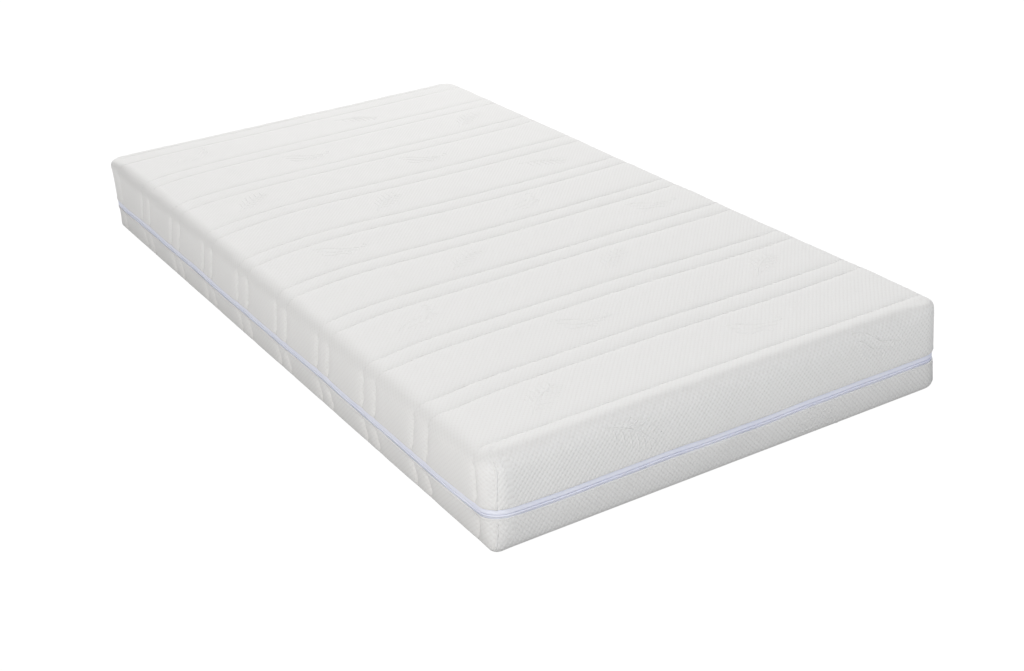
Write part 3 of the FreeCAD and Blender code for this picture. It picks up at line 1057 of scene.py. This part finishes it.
cornerSeam = {
    "wide": 5.4,
    "proud": 1.3,
    # the ridge's cross-section: places across and their heights
    "across": (-1.0, -0.74, -0.42, -0.1, 0.1, 0.42, 0.74, 1.0),
    "lifts": (-0.3, 0.3, 0.85, 1.0, 1.0, 0.85, 0.3, -0.3),
    "start": 50.0,  # degrees round the shoulder or base edge
    "fade": 14.0,  # it rises to its full height over this length
    "puckers": ((0.12, 1.9), (0.1, 0.93)),  # height and length, long ones and short ones
    "hemEnd": 5.5,
    "step": 3.0,
}


def seamRidge(half, along):
    # the pressed-open seam allowance makes a soft ridge up the corner
    start = half["edge"] * math.radians(cornerSeam["start"])
    end = half["arc"] + half["deep"] - half["edge"] - cornerSeam["hemEnd"]
    down = fillSteps([start, end], cornerSeam["step"])
    fade = smooth(down, start, start + cornerSeam["fade"])
    (tall, long), (low, short) = cornerSeam["puckers"]
    puckers = tall * np.sin(down / long + along) + low * np.sin(down / short)
    columns = []
    for across, lift in zip(cornerSeam["across"], cornerSeam["lifts"]):
        place = np.full(down.shape, along + across * cornerSeam["wide"] / 2)
        point, facing, height, _ = wallShape(half, place, down)
        proud = lift * cornerSeam["proud"]
        raised = height + (proud * fade + puckers * fade if lift > 0 else proud)
        columns.append(point + facing * raised[:, None])
    return np.stack(columns, 1)


for name, half in halves.items():
    ridges = [seamRidge(half, middle) for middle in cornerMiddles.values()]
    cloths = [np.stack([ridge[..., 0] + ridge[..., 1], ridge[..., 2]], -1) for ridge in ridges]
    seams = loftObject(name + "CornerSeams", ridges, knit, cloths)
    standFor(seams, name + "_cover", name + "_corner_seams")
print("corner seams made")

motifs = {
    "wide": 5.2,  # each raised line
    "proud": 0.6,
    # a line's cross-section: places across and their heights
    "across": (-0.5, -0.36, -0.22, -0.08, 0.08, 0.22, 0.36, 0.5),
    "lifts": (-0.2, 0.12, 0.6, 0.97, 0.97, 0.6, 0.12, -0.2),
    "step": 3.0,
    "taper": (9.0, 0.35),  # length at both ends, and the share of its width that is left there
    # where they lie on the cloth, between the pairs of lines: p, q, turn in degrees, kind
    "upper": [
        (-310, -872, 34, "sprig"),
        (150, -876, -24, "breeze"),
        (-90, -660, -30, "breeze"),
        (350, -655, 36, "sprig"),
        (-320, -446, 30, "breeze"),
        (130, -440, 38, "sprig"),
        (-110, -232, 34, "sprig"),
        (370, -228, -28, "breeze"),
        (-300, -14, -32, "breeze"),
        (160, -20, 28, "breeze"),
        (-80, 198, 38, "sprig"),
        (340, 202, -34, "sprig"),
        (-330, 410, 34, "sprig"),
        (120, 414, -30, "breeze"),
        (-100, 628, -28, "breeze"),
        (360, 624, 36, "sprig"),
        (-310, 842, 32, "breeze"),
        (140, 838, -36, "sprig"),
        (-215, -1028, -32, "sprig"),
        (330, -1030, -24, "breeze"),
    ],
    "lower": [(190, -1026, 8, "breeze")],
}


def sprigLines():
    # a curved stem with bent, slender leaves on both sides, like a fern's
    t = np.linspace(0, 1, 30)
    stem = np.stack([118 * t - 59, 12 * np.sin(math.pi * t * 0.9) - 6], -1)
    lines = [stem]
    for k in range(12):
        share = 0.14 + 0.068 * k
        root = np.array([np.interp(share, t, stem[:, 0]), np.interp(share, t, stem[:, 1])])
        side = 1 if k % 2 else -1
        length = 30 * math.sin(math.pi * (0.18 + 0.74 * share)) + 3
        u = np.linspace(0, 1, 12)
        leaf = np.stack([4 + length * u, side * (2 + 0.22 * length * u ** 2)], -1)
        lines.append(root + leaf @ turned(math.radians(36 * side)).T)
    return lines


def breezeLines():
    # three long curls, like a drawn breeze
    lines = []
    for k, (length, rise) in enumerate(((112, 17), (86, 0), (60, -17))):
        t = np.linspace(0, 1, 40)
        x = length * t - 58 + 12 * k
        y = rise + 4.5 * np.sin(2 * math.pi * t * 1.2 + k)
        turn = np.linspace(0, 1.2 * math.pi, 18)
        radius = 8 * (1 - 0.4 * turn / turn[-1])
        curl = np.stack([x[-1] - 1 + radius * np.sin(turn), y[-1] + 8 - radius * np.cos(turn)], -1)
        lines.append(np.concatenate([np.stack([x, y], -1), curl[1:]]))
    return lines


def turned(angle):
    return np.array([[math.cos(angle), -math.sin(angle)], [math.sin(angle), math.cos(angle)]])


def motifRib(half, line):
    # a low, soft-edged rib that lies on the cloth along a line, and its places on the cloth
    reach = lengthAlong(line)
    s = np.linspace(0, reach[-1], max(4, int(reach[-1] / motifs["step"])))
    path = np.stack([np.interp(s, reach, line[:, k]) for k in (0, 1)], -1)
    heading = unit(np.gradient(path, axis=0))
    across = np.stack([-heading[:, 1], heading[:, 0]], -1)
    length, left = motifs["taper"]
    taper = left + (1 - left) * np.minimum(1, np.minimum(s, reach[-1] - s) / length)
    offsets = np.array(motifs["across"]) * motifs["wide"]
    lifts = np.array(motifs["lifts"]) * motifs["proud"]
    spots = path[:, None] + across[:, None] * (offsets[None] * taper[:, None])[..., None]
    raised = np.where(lifts > 0, lifts * taper[:, None], lifts)
    return cloth(half, spots[..., 0], spots[..., 1], raised)[0], spots


shapes = {"sprig": sprigLines(), "breeze": breezeLines()}
for name, half in halves.items():
    ribs = []
    for p, q, turn, kind in motifs[name]:
        for line in shapes[kind]:
            ribs.append(motifRib(half, line @ turned(math.radians(turn)).T + np.array([p, q])))
    piece = loftObject(name + "KnitMotifs", [rib for rib, _ in ribs], knit, [spots for _, spots in ribs])
    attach(piece, name + "_cover")
print("motifs made")

core = {
    "softness": 0.25,  # swell of the cut foam's faces
    "inset": 0.6,  # they lie this far inside the block, so that the swell stays in it
    "step": 45.0,
    # rounding of the top edge, the base edge and the upright corners
    "sock": (26.0, 5.0, 28.0),
    "memory": (25.0, 0.8, 27.0),
    "support": (0.8, 5.0, 27.0),
    "sockThick": 0.9,
    # in metres: a tube as wide as the foam block's girth, closed over both ends
    "sockFlat": (2.28, 2.12),
}


def roundBlock(name, node, rounding, material, inner=0.0):
    # a cut block with rounded edges; with inner it is a thin skin, closed inside and out
    topEdge, baseEdge, corner = rounding
    low, high = (np.array(v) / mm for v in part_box(node))
    points = []
    faces = []
    start = 0
    for shrink in ([0.0, inner] if inner else [0.0]):
        plan = {"halfX": high[0] - shrink, "halfY": high[1] - shrink, "radius": corner - shrink}
        rims = []
        for sign, edge, z in ((1, topEdge, high[2]), (-1, baseEdge, low[2])):
            edge = max(edge - shrink, 0.6)
            spread = max(plan["radius"] - edge, 2.0)
            steps = []
            for side in ("halfY", "halfX"):
                straight = plan[side] - plan["radius"]
                places = [straight + spread * share for share in (0.0, 0.35, 0.7, 1.0)]
                steps.append(fillSteps(sorted(bothWays(places)), core["step"]))
            x, y, quads, ring, along = flatGrid(plan, plan["radius"] - spread, *steps)
            swell = core["softness"] * ripples(x, y, 260, 31 + sign)
            points.append(np.stack([x, y, z - sign * (shrink + core["inset"] - swell)], -1))
            for angle in np.radians([22, 45, 68, 90]):
                px, py, _, _ = outline(plan, along, edge * (1 - math.sin(angle)))
                pz = z - sign * (shrink + edge * (1 - math.cos(angle)))
                points.append(np.stack([px, py, np.full(px.shape, pz)], -1))
            rings, rim = ringQuads(ring + start, start + len(x), 4)
            shell = np.concatenate([quads + start] + rings)
            faces.append(shell if (sign > 0) == (shrink == 0) else shell[:, ::-1])
            rims.append(rim)
            start += len(x) + 4 * len(ring)
        side = bandBetween(*rims)
        faces.append(side if shrink == 0 else side[:, ::-1])
    return makeObject(name, np.concatenate(points), np.concatenate(faces), material)


sock = roundBlock("innerSock", "inner_sock", core["sock"], stockinette, core["sockThick"])
memory = roundBlock("memoryFoamLayer", "memory_foam_layer", core["memory"], memoryFoam)
support = roundBlock("supportFoamCore", "support_core", core["support"], supportFoam)
standFor(sock, "foam_core", "inner_sock")
standFor(memory, "foam_core", "memory_foam_layer")
standFor(support, "foam_core", "support_core")
print("sock and foams made")


def enamelledZinc():
    # Die-cast zinc with baked white enamel: smooth, slightly wavy gloss with softened highlights.
    material, tree, surface = newMaterial("enamelledZincDieCast", 0.32, {"Coat Weight": 0.3})
    place = addNode(tree, "TexCoord").outputs["Object"]
    flow = 1 / 0.42  # size of the enamel's waves
    wear = addNode(tree, "TexNoise", {"Scale": 1 / (flow * mm), "Detail": 3.0}, {"Vector": place})
    wear = wear.outputs["Fac"]
    shades = {"Color1": linear("#DCE1EE"), "Color2": linear("#EEF1F8")}
    shade = addNode(tree, "MixRGB", shades, {"Fac": wear})
    gloss = addNode(tree, "MapRange", {1: 0.3, 2: 0.7, 3: 0.26, 4: 0.42}, {0: wear})
    bump = addNode(tree, "Bump", {"Strength": 1.0, "Distance": 0.02 * mm}, {"Height": wear})
    tree.links.new(shade.outputs[0], surface.inputs["Base Color"])
    tree.links.new(gloss.outputs[0], surface.inputs["Roughness"])
    tree.links.new(bump.outputs[0], surface.inputs["Normal"])
    return material


# the slider, the pull tab and the end stop keep their own shapes
enamel = enamelledZinc()
for node, finish in (("zip_slider_body", enamel), ("zip_pull_tab", enamel), ("zip_end_stop", coilNylon)):
    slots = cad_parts[node].material_slots
    if not slots:
        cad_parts[node].data.materials.append(finish)
    for slot in slots:
        slot.material = finish

cameraSetup = {
    "lens": 58.15,
    "azimuth": -30.99,
    "elevation": 24.228,
    "roll": -3.585,
    "offset": (-0.27620, 0.04135, 3.76671),  # the origin, in the camera's own axes
    "shift": (-0.0770, -0.0239),
}


def addCamera():
    a = math.radians(cameraSetup["azimuth"])
    e = math.radians(cameraSetup["elevation"])
    r = math.radians(cameraSetup["roll"])
    back = np.array([math.sin(a) * math.cos(e), -math.cos(a) * math.cos(e), math.sin(e)])
    right = np.array([math.cos(a), math.sin(a), 0.0])
    up = np.cross(back, right)
    across = math.cos(r) * right + math.sin(r) * up
    upright = -math.sin(r) * right + math.cos(r) * up
    axes = np.array([across, upright, back])
    tx, ty, tz = cameraSetup["offset"]
    spot = -axes.T @ np.array([tx, ty, -tz])
    data = bpy.data.cameras.new("camera")
    data.lens = cameraSetup["lens"]
    data.sensor_width = 36.0
    data.shift_x, data.shift_y = cameraSetup["shift"]
    data.clip_end = 100.0
    camera = bpy.data.objects.new("camera", data)
    bpy.context.scene.collection.objects.link(camera)
    pose = Matrix(axes.T.tolist()).to_4x4()
    pose.translation = spot.tolist()
    camera.matrix_world = pose
    bpy.context.scene.camera = camera


addCamera()

studio = {
    "sky": 0.2,
    # painted shadow: the floor's glow onto the mattress is lower beside it
    "glowWithPaintedShadow": (0.45, 1.0),  # light that the floor gives back, beside the mattress and further out
    "paintedShadowReach": 0.3,
    "floor": 30000.0,  # from the middle to its edges
    "floorLevel": -0.0005,  # just clear of the underside's swell
    "lamps": [
        # name, place, size, watts, colour; all are aimed at the mattress's middle
        ("back", (1.9, 6.1, 3.5), 2.4, 275.0, "#FFFFFF"),
        ("right", (3.6, 0.6, 4.4), 2.4, 80.0, "#FFFDFA"),
        ("leftHigh", (-3.4, -3.0, 4.5), 2.4, 119.0, "#FFFBF7"),
        ("leftLow", (-2.2, -2.8, 1.6), 1.4, 13.0, "#FFFFFF"),
        ("footHigh", (0.2, -3.8, 4.6), 2.6, 22.0, "#D8E9FF"),
    ],
}


def addStudio():
    scene = bpy.context.scene
    scene.view_settings.view_transform = "Standard"
    world = bpy.data.worlds.new("softSky")
    world.use_nodes = True
    tree = world.node_tree
    background = tree.nodes["Background"]
    background.inputs["Color"].default_value = linear("#FFFFFF")
    # behind the floor's far edge the room looks as white as the floor does
    seen = addNode(tree, "LightPath").outputs["Is Camera Ray"]
    strength = addNode(tree, "Math", {"operation": "MAXIMUM", 1: studio["sky"]}, {0: seen})
    tree.links.new(strength.outputs[0], background.inputs["Strength"])
    scene.world = world
    # Matt floor that glows white, in place of seamless paper. It looks evenly white, and the glow it sends
    # onto the mattress is turned down close to it, a painted contact shadow.
    material, tree, surface = newMaterial("whiteGlowFloorPaintedShadow", 0.9, {"Base Color": linear("#202020")})
    surface.inputs["Emission Color"].default_value = linear("#FFFFFF")
    place = addNode(tree, "TexCoord")
    foot = (mattress["halfX"] * mm, mattress["halfY"] * mm, 0.0)
    folded = addNode(tree, "VectorMath", {"operation": "ABSOLUTE"}, {0: place.outputs["Object"]})
    beyond = addNode(tree, "VectorMath", {"operation": "SUBTRACT", 1: foot}, {0: folded.outputs[0]})
    outside = addNode(tree, "VectorMath", {"operation": "MAXIMUM", 1: (0, 0, 0)}, {0: beyond.outputs[0]})
    away = addNode(tree, "VectorMath", {"operation": "LENGTH"}, {0: outside.outputs[0]})
    # painted shadow: weaker glow close to the mattress's footprint, full glow further out
    near, far = studio["glowWithPaintedShadow"]
    given = addNode(
        tree, "MapRange", {1: 0.0, 2: studio["paintedShadowReach"], 3: near, 4: far}, {0: away.outputs["Value"]}
    )
    seen = addNode(tree, "LightPath").outputs["Is Camera Ray"]
    shown = addNode(tree, "Math", {"operation": "MAXIMUM"}, {0: given.outputs[0], 1: seen})
    tree.links.new(shown.outputs[0], surface.inputs["Emission Strength"])
    reach = studio["floor"]
    corners = [(-reach, -reach, 0), (reach, -reach, 0), (reach, reach, 0), (-reach, reach, 0)]
    floor = makeObject("floor", corners, [(0, 1, 2, 3)], material, None, False)
    floor.location.z = studio["floorLevel"]
    for name, spot, size, watts, colour in studio["lamps"]:
        data = bpy.data.lights.new(name, "AREA")
        data.size = size
        data.energy = watts
        data.color = linear(colour)[:3]
        lamp = bpy.data.objects.new(name, data)
        scene.collection.objects.link(lamp)
        back = np.array(spot) - np.array([0.0, 0.0, 0.1])
        lamp.location = spot
        lamp.rotation_mode = "QUATERNION"
        lamp.rotation_quaternion = Vector(back.tolist()).to_track_quat("Z", "Y")


addStudio()
print("camera, lights and floor ready")
